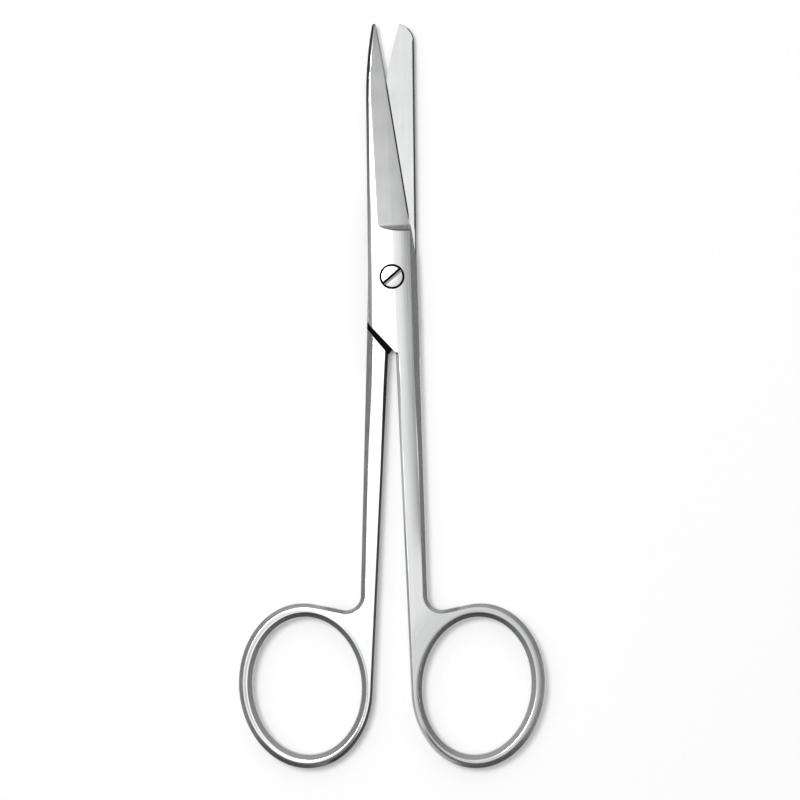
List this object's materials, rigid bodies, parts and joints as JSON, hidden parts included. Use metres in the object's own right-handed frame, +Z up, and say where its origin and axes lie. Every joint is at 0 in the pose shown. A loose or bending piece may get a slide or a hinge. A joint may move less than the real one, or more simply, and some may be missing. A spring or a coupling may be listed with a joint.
{
  "type": "dressing scissors",
  "caption": "Straight surgical dressing scissors with one sharp and one blunt tip, finger rings, and halves crossing in a lap joint on a slotted pivot screw.",
  "frame": {"origin": "on the pivot's axis, in the plane of the joint's underside, on which the pair lies flat", "axes": "+Z up along the pivot's axis, out of the screw's head; +Y from the pivot towards the blade tips; +X towards the ring of the upper half"},
  "size_m": [0.0596, 0.1449, 0.0042],
  "materials": {
    "upper_half": "satin, with polished roundings",
    "lower_half": "satin, with polished roundings",
    "pivot_screw": "turned and polished"
  },
  "bodies": {
    "lower": {"lower_half": "lower_half", "pivot_screw": "pivot_screw"},
    "upper": {"upper_half": "upper_half"}
  },
  "joints": [
    {"name": "pivot", "type": "hinge", "parent": "lower", "child": "upper", "pos_m": [0, 0, 0], "axis": [0, 0, 1], "range_deg": [-5.25, 120]}
  ]
}
